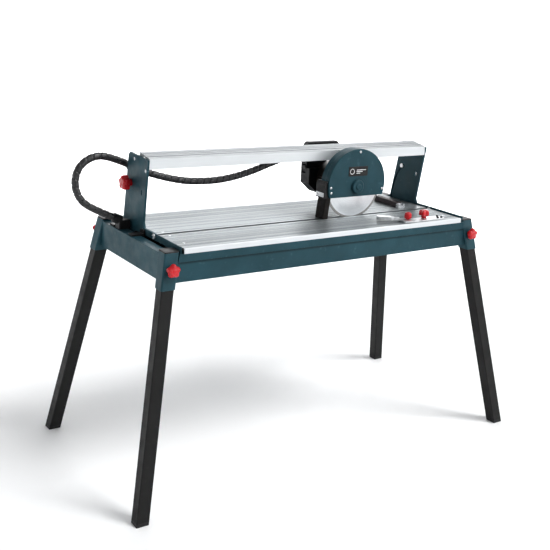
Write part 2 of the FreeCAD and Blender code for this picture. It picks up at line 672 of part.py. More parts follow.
# ---- stops on the table ----
def make_fence():
    x = FENCE_X
    low = TABLE_TOP + 0.4
    outline = [(x - 11, low), (x - 11, low + 17), (x - 8, low + 20), (x - 3, low + 20), (x - 3, low + 16),
               (x + 3, low + 16), (x + 3, low + 20), (x + 8, low + 20), (x + 11, low + 17), (x + 11, low),
               (x + 5, low), (x + 5, low + 8), (x - 5, low + 8), (x - 5, low)]
    save("fence_bar", prism_y(outline, (-27, 100)))
    clip = box((x - 13, x + 15), (-43, -27), (low, low + 15))
    clip = clip.cut(box((x - 8, x + 10), (-44, -31), (low + 8, low + 16)))
    save("fence_clip", fuse(clip, rod_z(x + 1, -37, (low + 6, low + 12), 4.5)))


def make_gauge():
    low = TABLE_TOP + 0.4
    px, py = GAUGE_PIVOT
    cx, cy = GAUGE_CLAMP
    base = box((298, 482), (-240, -202), (low, low + 4))
    corners = [edge for edge in base.Edges if abs(edge.Length - 4) < 0.01]
    base = base.makeFillet(6.0, corners)
    base = fuse(base, rod_z(px, py, (low + 3, low + 24), 4.0), rod_z(cx, cy, (low + 3, low + 24), 4.0))
    save("gauge_base", base)

    # A thick rounded paddle, then a narrower neck running into a thin hub round the pivot.
    hub = vec(px, py, 0)
    tip = vec(238, -176, 0)
    along = (hub - tip).normalize()
    across = Z_AXIS.cross(along)
    arm_low = low + 4.3
    arm_high = low + 16
    heel = tip + along * 36
    waist = hub - along * 30
    paddle = prism([vec(p.x, p.y, arm_low) for p in (tip + across * 12, heel + across * 12,
                    heel - across * 12, tip - across * 12)], vec(0, 0, arm_high - arm_low))
    paddle = fuse(paddle, rod_z(tip.x, tip.y, (arm_low, arm_high), 12),
                  rod_z(heel.x, heel.y, (arm_low, arm_high), 12))
    neck = prism([vec(p.x, p.y, arm_low) for p in (heel + across * 7, waist + across * 7,
                  waist - across * 7, heel - across * 7)], vec(0, 0, 9))
    flare = prism([vec(p.x, p.y, arm_low) for p in (waist + across * 7, hub + across * 25,
                   hub - across * 25, waist - across * 7)], vec(0, 0, 4))
    arm = fuse(paddle, neck, flare, rod_z(px, py, (arm_low, arm_low + 4), 26))
    save("gauge_arm", arm.cut(rod_z(px, py, (low, low + 20), 4.05)))

    knob = grooved_knob((px, py, arm_low + 4.4), 12.5, 25.0)
    save("gauge_arm_knob", knob.cut(rod_z(px, py, (low, low + 25), 4.05)))
    knob = lobed_knob((cx, cy, low + 4.5), Z_AXIS, 19.0, 29.0)
    save("gauge_clamp_knob", knob.cut(rod_z(cx, cy, (low, low + 25), 4.05)))


# ---- hoses ----
def rounded_route(points):
    """Straight runs joined by tangent arcs; each arc is as large as its two runs allow."""
    corners = [vec(*point) for point in points]
    edges = []
    start = corners[0]
    radii = []
    for before, corner, after in zip(corners, corners[1:], corners[2:]):
        back = before - corner
        forward = after - corner
        shorter = min(back.Length, forward.Length)
        back.normalize()
        forward.normalize()
        turn = math.pi - back.getAngle(forward)
        reach = 0.45 * shorter
        entry = corner + back * reach
        leave = corner + forward * reach
        bisector = (back + forward).normalize()
        radius = reach / math.tan(turn / 2)
        radii.append(round(radius, 1))
        centre_distance = math.hypot(reach, radius)
        middle = corner + bisector * (centre_distance - radius)
        edges.append(Part.LineSegment(start, entry).toShape())
        edges.append(Part.Arc(entry, middle, leave).toShape())
        start = leave
    edges.append(Part.LineSegment(start, corners[-1]).toShape())
    return Part.Wire(edges), radii


def make_hose(name, points):
    route, radii = rounded_route(points)
    first = route.Edges[0]
    direction = first.tangentAt(first.FirstParameter)
    ring = Part.Wire(Part.Circle(vec(*points[0]), direction, HOSE_R).toShape())
    hose = route.makePipeShell([ring], True, False)
    section = math.pi * HOSE_R ** 2
    print(name, "length", round(route.Length, 1), "radii", radii,
          "volume ratio", round(hose.Volume / (section * route.Length), 4))
    save(name, hose)


def make_hoses():
    make_hose("hanging_hose", HANGING_HOSE)
    make_hose("loop_hose", LOOP_HOSE)
    block = box((-604, -566), (82, 118), (RAIL_TOP, RAIL_TOP + 28))
    edges = [edge for edge in block.Edges if edge.CenterOfMass.z > RAIL_TOP + 1]
    block = block.makeFillet(4.0, edges)
    end = vec(*LOOP_HOSE[-1])
    direction = (end - vec(*LOOP_HOSE[-2])).normalize()
    nose = Part.makeCylinder(HOSE_R + 3, 26, end, direction)
    save("cable_gland", fuse(block, nose.common(box((-700, -570), (60, 140), (RAIL_TOP + 1, 830)))))


def main():
    os.makedirs("parts", exist_ok=True)
    make_legs()
    make_sockets()
    make_leg_knobs()
    make_rails()
    make_table_supports()
    make_table()
    make_water_system()
    make_brackets()
    make_swing_plates()
    make_beam()
    make_tilt_knobs()
    make_carriage()
    make_motor()
    make_spindle()
    make_guard()
    make_flap()
    make_switch_box()
    make_handle()
    make_fence()
    make_gauge()
    make_hoses()


main()
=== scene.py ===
import bmesh
import bpy
import json
import math
from mathutils import Matrix, Vector


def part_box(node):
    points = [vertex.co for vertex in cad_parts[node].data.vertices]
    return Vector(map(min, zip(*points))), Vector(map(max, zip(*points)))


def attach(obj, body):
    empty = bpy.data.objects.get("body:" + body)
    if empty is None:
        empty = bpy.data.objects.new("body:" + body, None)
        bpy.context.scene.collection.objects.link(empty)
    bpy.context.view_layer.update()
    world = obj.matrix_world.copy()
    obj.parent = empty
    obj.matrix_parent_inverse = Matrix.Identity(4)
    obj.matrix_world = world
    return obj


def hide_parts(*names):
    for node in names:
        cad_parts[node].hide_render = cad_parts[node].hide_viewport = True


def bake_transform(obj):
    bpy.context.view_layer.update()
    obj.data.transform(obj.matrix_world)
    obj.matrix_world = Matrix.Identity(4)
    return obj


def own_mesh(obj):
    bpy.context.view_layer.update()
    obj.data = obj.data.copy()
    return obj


# Looks of the bridge tile cutter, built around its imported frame.  Metres, +Z up.
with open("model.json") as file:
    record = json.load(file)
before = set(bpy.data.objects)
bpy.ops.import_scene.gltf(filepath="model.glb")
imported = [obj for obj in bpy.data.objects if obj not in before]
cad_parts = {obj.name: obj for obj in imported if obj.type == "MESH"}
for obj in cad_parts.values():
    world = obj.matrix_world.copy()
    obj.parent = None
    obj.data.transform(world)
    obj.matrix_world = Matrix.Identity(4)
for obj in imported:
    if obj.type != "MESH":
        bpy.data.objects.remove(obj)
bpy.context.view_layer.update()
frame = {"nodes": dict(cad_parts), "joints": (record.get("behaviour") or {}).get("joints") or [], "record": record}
X = Vector((1, 0, 0))
Y = Vector((0, 1, 0))
Z = Vector((0, 0, 1))


# ---- camera ----
CAMERA_PLACE = (-1.7317, -2.4990, 1.4684)
CAMERA_AZIMUTH = 36.12
CAMERA_ELEVATION = -17.01
CAMERA_ROLL = 3.60
CAMERA_LENS = 59.19
CAMERA_SHIFT = (-0.0655, 0.0182)


def make_camera():
    azimuth = math.radians(CAMERA_AZIMUTH)
    elevation = math.radians(CAMERA_ELEVATION)
    roll = math.radians(CAMERA_ROLL)
    level = math.cos(elevation)
    ahead = Vector((math.sin(azimuth) * level, math.cos(azimuth) * level, math.sin(elevation)))
    flat_right = ahead.cross(Z).normalized()
    flat_up = flat_right.cross(ahead)
    right = flat_right * math.cos(roll) + flat_up * math.sin(roll)
    up = flat_up * math.cos(roll) - flat_right * math.sin(roll)
    turn = Matrix((right, up, -ahead)).transposed().to_4x4()
    data = bpy.data.cameras.new("camera")
    data.lens = CAMERA_LENS
    data.shift_x, data.shift_y = CAMERA_SHIFT
    data.clip_end = 200
    camera = bpy.data.objects.new("camera", data)
    camera.matrix_world = Matrix.Translation(CAMERA_PLACE) @ turn
    bpy.context.scene.collection.objects.link(camera)
    bpy.context.scene.camera = camera


make_camera()


# ---- node materials ----
PAINT_ROUGHNESS = 0.44
# Lighter metal colours for a painted highlight on faces that take the light.
LIT_FACE_METAL = ((0.58, 0.605, 0.62), (0.70, 0.72, 0.735))
METAL_EDGE = 0.0006
GROOVE_DEPTH = 0.001
BLADE_RIM = 0.0085


def new_material(name, roughness, metallic=0.0, coat=0.0):
    made = bpy.data.materials.new(name)
    made.use_nodes = True
    tree = made.node_tree
    shader = tree.nodes["Principled BSDF"]
    shader.inputs["Roughness"].default_value = roughness
    shader.inputs["Metallic"].default_value = metallic
    shader.inputs["Coat Weight"].default_value = coat
    shader.inputs["Coat Roughness"].default_value = 0.15
    return made, tree, shader


def place_of(tree, stretch=(1, 1, 1)):
    """The point on the object, in metres, stretched for a pattern with a grain."""
    coordinates = tree.nodes.new("ShaderNodeTexCoord")
    mapping = tree.nodes.new("ShaderNodeMapping")
    mapping.inputs["Scale"].default_value = stretch
    tree.links.new(coordinates.outputs["Object"], mapping.inputs["Vector"])
    return mapping.outputs["Vector"]


def place_along(tree, axis):
    """One coordinate, X, Y or Z, of the point on the object."""
    parts = tree.nodes.new("ShaderNodeSeparateXYZ")
    tree.links.new(place_of(tree), parts.inputs["Vector"])
    return parts.outputs[axis]


def noise(tree, scale, detail=3.0, stretch=(1, 1, 1), place=None):
    texture = tree.nodes.new("ShaderNodeTexNoise")
    texture.inputs["Scale"].default_value = scale
    texture.inputs["Detail"].default_value = detail
    tree.links.new(place or place_of(tree, stretch), texture.inputs["Vector"])
    return texture.outputs["Fac"]


def span(tree, value, start, end, low=0.0, high=1.0):
    """Carries start..end of a value to low..high, smoothly and clamped."""
    ranged = tree.nodes.new("ShaderNodeMapRange")
    ranged.interpolation_type = "SMOOTHSTEP"
    for name, number in (("From Min", start), ("From Max", end), ("To Min", low), ("To Max", high)):
        ranged.inputs[name].default_value = number
    tree.links.new(value, ranged.inputs["Value"])
    return ranged.outputs["Result"]


def math_node(tree, operation, first, second=None):
    made = tree.nodes.new("ShaderNodeMath")
    made.operation = operation
    for socket, value in zip(made.inputs, (first, second)):
        if isinstance(value, (int, float)):
            socket.default_value = value
        elif value is not None:
            tree.links.new(value, socket)
    return made.outputs["Value"]


def scaled(colour, share, lift=0.0):
    """A colour made darker or lighter, no part of it above 1."""
    return tuple(min(1.0, share * part + lift) for part in colour)


def mixed(tree, factor, first, second):
    """A colour between two, each a colour or an output."""
    mixer = tree.nodes.new("ShaderNodeMix")
    mixer.data_type = "RGBA"
    tree.links.new(factor, mixer.inputs["Factor"])
    for socket, value in ((mixer.inputs[6], first), (mixer.inputs[7], second)):
        if isinstance(value, tuple):
            socket.default_value = (*value, 1)
        else:
            tree.links.new(value, socket)
    return mixer.outputs[2]


def soft_edges(tree, radius):
    """The normal with its edges rounded, and a mask that is 1 along them."""
    bevel = tree.nodes.new("ShaderNodeBevel")
    bevel.samples = 4
    bevel.inputs["Radius"].default_value = radius
    geometry = tree.nodes.new("ShaderNodeNewGeometry")
    dot = tree.nodes.new("ShaderNodeVectorMath")
    dot.operation = "DOT_PRODUCT"
    tree.links.new(bevel.outputs["Normal"], dot.inputs[0])
    tree.links.new(geometry.outputs["Normal"], dot.inputs[1])
    return bevel.outputs["Normal"], span(tree, dot.outputs["Value"], 0.995, 0.85)


def bump(tree, shader, height, distance, normal=None):
    made = tree.nodes.new("ShaderNodeBump")
    made.inputs["Distance"].default_value = distance
    made.inputs["Strength"].default_value = 1.0
    tree.links.new(height, made.inputs["Height"])
    if normal is not None:
        tree.links.new(normal, made.inputs["Normal"])
    tree.links.new(made.outputs["Normal"], shader.inputs["Normal"])


def painted_lip_shadow(tree, lip_bottom):
    """A soft painted shadow line just under a folded lip."""
    height = place_along(tree, "Z")
    below = span(tree, height, lip_bottom - 0.010, lip_bottom - 0.001)
    above = span(tree, height, lip_bottom, lip_bottom + 0.0004, 1.0, 0.0)
    return math_node(tree, "MULTIPLY", below, above)


def powder_coat(name, colour, edge_colour, roughness, grain=0.00012, lip_bottom=None):
    """Baked powder paint: orange-peel skin, faint dust, lighter along its edges, partly thinner worn paint and
    partly a painted highlight.
    """
    made, tree, shader = new_material(name, roughness, coat=0.03)
    shader.inputs["Specular IOR Level"].default_value = 0.22
    rounded, edges = soft_edges(tree, 0.0012)
    cloud = span(tree, noise(tree, 9.0, 5.0), 0.3, 0.75)
    tint = mixed(tree, cloud, scaled(colour, 0.78), colour)
    scuffs = span(tree, noise(tree, 55.0, 8.0), 0.60, 0.74)
    tint = mixed(tree, math_node(tree, "MULTIPLY", scuffs, 0.16), tint, edge_colour)
    # edges lighter: partly thinner worn paint, partly a painted highlight
    patchy = span(tree, noise(tree, 38.0, 6.0), 0.35, 0.7, 0.25, 0.85)
    tint = mixed(tree, math_node(tree, "MULTIPLY", edges, patchy), tint, edge_colour)
    # painted shadow: a dark band just under the rail's folded lip
    if lip_bottom is not None:
        lip_shadow = math_node(tree, "MULTIPLY", painted_lip_shadow(tree, lip_bottom), 0.8)
        tint = mixed(tree, lip_shadow, tint, scaled(colour, 0.25))
    tree.links.new(tint, shader.inputs["Base Color"])
    rough = span(tree, noise(tree, 26.0, 6.0), 0.3, 0.7, roughness - 0.07, roughness + 0.1)
    tree.links.new(rough, shader.inputs["Roughness"])
    bump(tree, shader, noise(tree, 850.0, 2.0), grain, rounded)
    return made


def moulded_plastic(name, colour, roughness, grain_scale, grain, coat=0.0, fade=0.8):
    """Moulded plastic: fine spark-eroded grain, slight changes of tone, lighter edges, partly rubbed and partly a
    painted highlight.
    """
    made, tree, shader = new_material(name, roughness, coat=coat)
    shader.inputs["Specular IOR Level"].default_value = 0.35
    rounded, edges = soft_edges(tree, 0.0010)
    cloud = span(tree, noise(tree, 22.0, 4.0), 0.3, 0.75)
    tint = mixed(tree, cloud, scaled(colour, fade), colour)
    # edges lighter: partly rubbed, partly a painted highlight
    tint = mixed(tree, math_node(tree, "MULTIPLY", edges, 0.5), tint, scaled(colour, 1.5, 0.012))
    tree.links.new(tint, shader.inputs["Base Color"])
    rough = span(tree, noise(tree, 60.0, 5.0), 0.3, 0.7, roughness - 0.06, roughness + 0.09)
    tree.links.new(rough, shader.inputs["Roughness"])
    bump(tree, shader, noise(tree, grain_scale, 2.0), grain, rounded)
    return made


def groove_mask(tree, top):
    """1 on the floors of shallow grooves that lie just under a flat top."""
    height = place_along(tree, "Z")
    under = span(tree, height, top - 0.6 * GROOVE_DEPTH, top - 0.3 * GROOVE_DEPTH, 1.0, 0.0)
    above = span(tree, height, top - 2.0 * GROOVE_DEPTH, top - 1.5 * GROOVE_DEPTH)
    return math_node(tree, "MULTIPLY", under, above)


def drawn_metal(name, colour, roughness, stretch, streak_scale, streak_depth, groove_top=None, pale=None,
                bands=None):
    """Metal with a grain: long streaks in one direction, a little haze and handling marks.

    pale is the (axis, start, end) up to which the metal is painted lighter and less metallic, a painted highlight
    on the face that takes the light; bands are broad die lines.
    """
    made, tree, shader = new_material(name, roughness, metallic=0.92)
    rounded, edges = soft_edges(tree, METAL_EDGE)
    streaks = noise(tree, streak_scale, 4.0, stretch)
    haze = noise(tree, 7.0, 5.0)
    tint = mixed(tree, span(tree, streaks, 0.3, 0.7), scaled(colour, 0.80), colour)
    tint = mixed(tree, span(tree, haze, 0.45, 0.8, 0.0, 0.35), tint, scaled(colour, 0.72))
    if bands is not None:
        lines = span(tree, noise(tree, 1.0, 1.0, bands), 0.42, 0.58)
        tint = mixed(tree, lines, tint, scaled(colour, 0.62))
    # edges lighter: partly worn, partly a painted highlight
    tint = mixed(tree, math_node(tree, "MULTIPLY", edges, 0.6), tint, scaled(colour, 1.1))
    # painted shade: the floors of the grooves just under the flat top are darkened
    if groove_top is not None:
        groove_shade = math_node(tree, "MULTIPLY", groove_mask(tree, groove_top), 0.85)
        tint = mixed(tree, groove_shade, tint, scaled(colour, 0.34))
    # painted highlight: up to the pale span the metal is lighter and less metallic, standing in for light on that
    # face
    if pale is not None:
        axis, start, end = pale
        lit_face = span(tree, place_along(tree, axis), start, end, 1.0, 0.0)
        tint = mixed(tree, lit_face, tint, mixed(tree, streaks, *LIT_FACE_METAL))
        tree.links.new(span(tree, lit_face, 0.0, 1.0, 0.92, 0.30), shader.inputs["Metallic"])
    tree.links.new(tint, shader.inputs["Base Color"])
    rough = span(tree, streaks, 0.25, 0.75, roughness - 0.08, roughness + 0.12)
    tree.links.new(rough, shader.inputs["Roughness"])
    bump(tree, shader, streaks, streak_depth, rounded)
    return made


def cast_metal(name, colour, roughness, scale, depth):
    """Cast or plated metal: a fine pebbled skin with soft clouds."""
    made, tree, shader = new_material(name, roughness, metallic=0.9)
    rounded, edges = soft_edges(tree, METAL_EDGE)
    cloud = span(tree, noise(tree, 45.0, 5.0), 0.3, 0.7)
    tint = mixed(tree, cloud, scaled(colour, 0.76), colour)
    # edges lighter: partly worn, partly a painted highlight
    tint = mixed(tree, math_node(tree, "MULTIPLY", edges, 0.5), tint, scaled(colour, 1.15))
    tree.links.new(tint, shader.inputs["Base Color"])
    rough = span(tree, noise(tree, 120.0, 4.0), 0.3, 0.7, roughness - 0.08, roughness + 0.1)
    tree.links.new(rough, shader.inputs["Roughness"])
    bump(tree, shader, noise(tree, scale, 3.0), depth, rounded)
    return made


def spindle_distance(tree):
    """Distance from the blade's axis, which runs along Y."""
    low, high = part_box("saw_blade")
    centre = [(a + b) / 2 for a, b in zip(low, high)]
    moved = tree.nodes.new("ShaderNodeVectorMath")
    moved.operation = "SUBTRACT"
    tree.links.new(place_of(tree, (1, 0, 1)), moved.inputs[0])
    moved.inputs[1].default_value = (centre[0], 0, centre[2])
    length = tree.nodes.new("ShaderNodeVectorMath")
    length.operation = "LENGTH"
    tree.links.new(moved.outputs["Vector"], length.inputs[0])
    return length.outputs["Value"]


def ground_blade():
    """Ground steel core with concentric grinding marks, and a gritty sintered rim."""
    made, tree, shader = new_material("blade_ground_steel", 0.28, metallic=0.9)
    low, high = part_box("saw_blade")
    radius = (high[0] - low[0]) / 2
    distance = spindle_distance(tree)
    rings = tree.nodes.new("ShaderNodeTexNoise")
    rings.noise_dimensions = "1D"
    rings.inputs["Detail"].default_value = 4.0
    rings.inputs["Scale"].default_value = 900.0
    tree.links.new(distance, rings.inputs["W"])
    rim = span(tree, distance, radius - BLADE_RIM, radius - BLADE_RIM + 0.0007)
    grit = noise(tree, 1400.0, 3.0)
    core = mixed(tree, span(tree, rings.outputs["Fac"], 0.3, 0.7), (0.62, 0.64, 0.66), (0.84, 0.86, 0.88))
    smear = span(tree, noise(tree, 16.0, 5.0), 0.5, 0.75, 0.0, 0.5)
    core = mixed(tree, smear, core, (0.50, 0.52, 0.54))
    ring = mixed(tree, span(tree, grit, 0.4, 0.65), (0.22, 0.22, 0.22), (0.55, 0.54, 0.52))
    tree.links.new(mixed(tree, rim, core, ring), shader.inputs["Base Color"])
    tree.links.new(span(tree, rim, 0, 1, 0.30, 0.65), shader.inputs["Roughness"])
    relief = math_node(tree, "MULTIPLY", rim, grit)
    fine = math_node(tree, "MULTIPLY", rings.outputs["Fac"], 0.12)
    bump(tree, shader, math_node(tree, "ADD", relief, fine), 0.00025)
    return made


def wound_steel():
    """Stacked laminations with a coppery tint between them."""
    made, tree, shader = new_material("laminated_steel", 0.45, metallic=0.8)
    layers = tree.nodes.new("ShaderNodeTexWave")
    layers.bands_direction = "Y"
    layers.inputs["Scale"].default_value = 300.0
    layers.inputs["Distortion"].default_value = 0.4
    tree.links.new(place_of(tree), layers.inputs["Vector"])
    patches = span(tree, noise(tree, 60.0), 0.45, 0.6)
    tint = mixed(tree, layers.outputs["Fac"], (0.16, 0.15, 0.15), (0.36, 0.35, 0.34))
    tree.links.new(mixed(tree, patches, tint, (0.34, 0.16, 0.09)), shader.inputs["Base Color"])
    bump(tree, shader, layers.outputs["Fac"], 0.0003)
    return made


def rubber(name, colour, roughness, specular=0.25):
    """Rubber: matt, with a dusty bloom and a fine sandy skin."""
    made, tree, shader = new_material(name, roughness)
    shader.inputs["Specular IOR Level"].default_value = specular
    bloom = span(tree, noise(tree, 30.0, 6.0), 0.4, 0.75, 0.0, 0.5)
    tint = mixed(tree, bloom, colour, scaled(colour, 2.2, 0.01))
    tree.links.new(tint, shader.inputs["Base Color"])
    rough = span(tree, noise(tree, 80.0, 4.0), 0.3, 0.7, roughness - 0.1, roughness + 0.08)
    tree.links.new(rough, shader.inputs["Roughness"])
    bump(tree, shader, noise(tree, 700.0, 3.0), 0.00015)
    return made


TEAL = (0.022, 0.072, 0.092)
TEAL_EDGE = (0.10, 0.19, 0.22)
RAIL_LIP = 0.024
TABLE_LOW, TABLE_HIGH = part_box("front_table_panel")
BEAM_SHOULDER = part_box("bridge_beam")[1][2] - 0.012
LOOKS = {
    "teal_paint": powder_coat("teal_powder_coat", TEAL, TEAL_EDGE, PAINT_ROUGHNESS),
    "black_paint": powder_coat("black_powder_coat", (0.016, 0.0155, 0.0155), (0.05, 0.05, 0.05),
                               PAINT_ROUGHNESS),
    "black_plastic": moulded_plastic("black_moulded_plastic", (0.014, 0.014, 0.015), 0.45, 900.0, 0.0001),
    "red_plastic": moulded_plastic("red_moulded_plastic", (0.62, 0.012, 0.020), 0.26, 500.0, 0.00004,
                                   coat=0.5, fade=0.72),
    "table_aluminium": drawn_metal("ribbed_aluminium", (0.42, 0.45, 0.465), 0.42, (0.5, 90, 90), 8.0, 0.00006,
                                   groove_top=TABLE_HIGH[2], bands=(0.25, 62, 0),
                                   pale=("Y", TABLE_LOW[1] + 0.004, TABLE_LOW[1] + 0.007)),
    "beam_aluminium": drawn_metal("anodised_extrusion", (0.40, 0.42, 0.435), 0.40, (0.4, 120, 120), 8.0,
                                  0.00003, bands=(0.25, 85, 0),
                                  pale=("Z", BEAM_SHOULDER, BEAM_SHOULDER + 0.001)),
    "cast_aluminium": cast_metal("cast_aluminium", (0.80, 0.81, 0.82), 0.38, 600.0, 0.00015),
    "zinc_steel": cast_metal("zinc_plated_steel", (0.70, 0.71, 0.73), 0.28, 900.0, 0.00004),
    "motor_paint": powder_coat("motor_enamel", (0.020, 0.015, 0.012), (0.09, 0.07, 0.06), 0.36, 0.0002),
    "lamination_steel": wound_steel(),
    "blade_steel": ground_blade(),
    "tray_plastic": moulded_plastic("tray_plastic", (0.030, 0.034, 0.038), 0.42, 300.0, 0.0001),
    "flap_rubber": rubber("splash_rubber", (0.012, 0.009, 0.008), 0.55),
    "hose_wrap": rubber("spiral_wrap", (0.012, 0.012, 0.013), 0.34, 0.7),
    "fence_paint": drawn_metal("dark_anodised", (0.085, 0.075, 0.078), 0.38, (90, 0.5, 90), 8.0, 0.00003),
}


def dress_frame():
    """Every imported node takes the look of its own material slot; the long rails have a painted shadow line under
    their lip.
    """
    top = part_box("front_rail")[1][2]
    rail_paint = powder_coat("teal_rail_powder_coat", TEAL, TEAL_EDGE, PAINT_ROUGHNESS,
                             lip_bottom=top - RAIL_LIP)
    for part in frame["record"]["subparts"]:
        target = frame["nodes"][part["node"]]
        look = LOOKS[part["material_slot"]]
        if part["node"] in ("front_rail", "rear_rail"):
            look = rail_paint
        for slot in target.material_slots:
            slot.material = look


dress_frame()


# ---- mesh helpers ----
def new_piece(name, verts, faces, slot, body, smooth=True, sharp_angle=35):
    """A piece made from plain vertices and faces, shaded smooth up to an angle."""
    mesh = bpy.data.meshes.new(name)
    mesh.from_pydata([tuple(vert) for vert in verts], [], faces)
    shaped = bmesh.new()
    shaped.from_mesh(mesh)
    bmesh.ops.recalc_face_normals(shaped, faces=shaped.faces)
    shaped.to_mesh(mesh)
    shaped.free()
    piece = bpy.data.objects.new(name, mesh)
    bpy.context.scene.collection.objects.link(piece)
    for polygon in mesh.polygons:
        polygon.use_smooth = smooth
    if smooth:
        mesh.set_sharp_from_angle(angle=math.radians(sharp_angle))
    mesh.materials.append(LOOKS[slot])
    if body:
        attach(piece, body)
    return piece


def apply_modifiers(piece):
    depsgraph = bpy.context.evaluated_depsgraph_get()
    shaped = bpy.data.meshes.new_from_object(piece.evaluated_get(depsgraph))
    piece.modifiers.clear()
    piece.data = shaped


def bevel_plate(piece):
    """Takes the sharpness off a thin plate's edges."""
    modifier = piece.modifiers.new("edges", "BEVEL")
    modifier.width = 0.0003
    modifier.segments = 3
    modifier.limit_method = "ANGLE"
    modifier.angle_limit = math.radians(40)
    apply_modifiers(piece)


def loft(rings, closed_ends=True):
    """Vertices and faces of a skin over rings that have equal numbers of points."""
    count = len(rings[0])
    verts = [point for ring in rings for point in ring]
    faces = []
    for level in range(len(rings) - 1):
        for index in range(count):
            after = (index + 1) % count
            low = level * count
            high = low + count
            faces.append((low + index, low + after, high + after, high + index))
    if closed_ends:
        faces.append(tuple(range(count))[::-1])
        faces.append(tuple(range(len(verts) - count, len(verts))))
    return verts, faces


def add_shape(verts, faces, shape):
    """Adds a shape, as (vertices, faces), to lists that hold several."""
    more_verts, more_faces = shape
    faces += [tuple(index + len(verts) for index in face) for face in more_faces]
    verts += more_verts


def radial(first, second, angle):
    """The direction at an angle in the plane of two directions."""
    return first * math.cos(angle) + second * math.sin(angle)


def side_axes(axis):
    """Two directions square to an axis."""
    reference = X if abs(axis.dot(Z)) > 0.5 else Z
    first = (reference - axis * reference.dot(axis)).normalized()
    return first, axis.cross(first)


def islands(node):
    """The (low, high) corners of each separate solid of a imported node."""
    shaped = bmesh.new()
    shaped.from_mesh(frame["nodes"][node].data)
    bmesh.ops.remove_doubles(shaped, verts=shaped.verts, dist=1e-6)
    seen = set()
    boxes = []
    for start in shaped.verts:
        if start in seen:
            continue
        stack = [start]
        seen.add(start)
        found = []
        while stack:
            vert = stack.pop()
            found.append(vert.co.copy())
            for edge in vert.link_edges:
                other = edge.other_vert(vert)
                if other not in seen:
                    seen.add(other)
                    stack.append(other)
        low = Vector([min(point[axis] for point in found) for axis in range(3)])
        high = Vector([max(point[axis] for point in found) for axis in range(3)])
        boxes.append((low, high))
    shaped.free()
    return boxes


# ---- hoses: the bundle from the saw head to the frame, in a spiral wrap ----
HOSE_CLIP = (-0.546, 0.132, 0.962)
HANGING_HOSE = [HOSE_CLIP, (-0.502, 0.131, 0.941), (-0.442, 0.126, 0.921), (-0.373, 0.119, 0.905),
                (-0.304, 0.112, 0.899), (-0.214, 0.104, 0.903), (-0.120, 0.094, 0.926),
                (-0.050, 0.081, 0.955), (0.020, 0.070, 0.978), (0.094, 0.066, 0.989)]
LOOP_HOSE = [(-0.5468, 0.132, 0.96238), (-0.607, 0.133, 0.989), (-0.662, 0.128, 0.998),
             (-0.713, 0.124, 0.973), (-0.735, 0.119, 0.923), (-0.724, 0.112, 0.870),
             (-0.685, 0.106, 0.837), (-0.616, 0.100, 0.806)]
HOSE_DIAMETER = 0.024
WRAP_PITCH = 0.023
WRAP_DEPTH = 0.0022
WRAP_CROWN = 0.0003
WRAP_GROOVE = 0.17
HOSE_STEP = 0.0012
HOSE_SIDES = 32


def spline_points(name, points):
    """Points along the smooth line of a route."""
    curve = bpy.data.curves.new(name, "CURVE")
    curve.dimensions = "3D"
    spline = curve.splines.new("NURBS")
    spline.points.add(len(points) - 1)
    for point, place in zip(spline.points, points):
        point.co = (*place, 1.0)
    spline.order_u = 3
    spline.use_endpoint_u = True
    spline.resolution_u = 32
    holder = bpy.data.objects.new(name, curve)
    bpy.context.scene.collection.objects.link(holder)
    line = bpy.data.meshes.new_from_object(holder)
    places = [vert.co.copy() for vert in line.vertices]
    bpy.data.objects.remove(holder)
    return places


def even_points(places, step):
    """The same line, in equal steps."""
    reach = [0.0]
    for before, after in zip(places, places[1:]):
        reach.append(reach[-1] + (after - before).length)
    count = round(reach[-1] / step)
    result = []
    index = 0
    for number in range(count + 1):
        target = reach[-1] * number / count
        while index < len(places) - 2 and reach[index + 1] < target:
            index += 1
        length = max(reach[index + 1] - reach[index], 1e-9)
        result.append(places[index].lerp(places[index + 1], (target - reach[index]) / length))
    return result


def wrap_radius(turns):
    """The skin's radius where the wrap has made so many turns: a band, then a narrow groove."""
    phase = turns % 1.0
    groove = max(0.0, 1.0 - abs(phase - 0.5) / WRAP_GROOVE)
    crown = 0.5 - 0.5 * math.cos(2 * math.pi * phase)
    sunk = WRAP_DEPTH * (groove * groove * (3 - 2 * groove))
    return HOSE_DIAMETER / 2 - sunk - WRAP_CROWN * (1 - crown)


def make_hose(name, points):
    """The wrapped bundle along a curved route through its listed points."""
    path = even_points(spline_points(name + "_route", points), HOSE_STEP)
    rings = []
    side = None
    for index, place in enumerate(path):
        ahead = path[min(index + 1, len(path) - 1)] - path[max(index - 1, 0)]
        ahead.normalize()
        if side is None:
            side = side_axes(ahead)[0]
        side = (side - ahead * side.dot(ahead)).normalized()
        other = ahead.cross(side)
        ring = []
        for corner in range(HOSE_SIDES):
            share = corner / HOSE_SIDES
            radius = wrap_radius(index * HOSE_STEP / WRAP_PITCH + share)
            ring.append(place + radial(side, other, 2 * math.pi * share) * radius)
        rings.append(ring)
    verts, faces = loft(rings)
    piece = new_piece(name + "_wrap", verts, faces, "hose_wrap", None)
    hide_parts(name)
    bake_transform(piece)


make_hose("hanging_hose", HANGING_HOSE)
make_hose("loop_hose", LOOP_HOSE)


# ---- hand knobs ----
KNOB_SEGMENTS = 90
KNOB_LOBES = 5
KNOB_GROOVES = 15
GROOVE_SINK = 0.0011
THREAD_PITCH = 0.00125
THREAD_DEPTH = 0.0006
THREAD_STEPS = 6
THREAD_SIDES = 24
STUD_RADIUS = 0.004
STUD_OVERLAP = 0.002


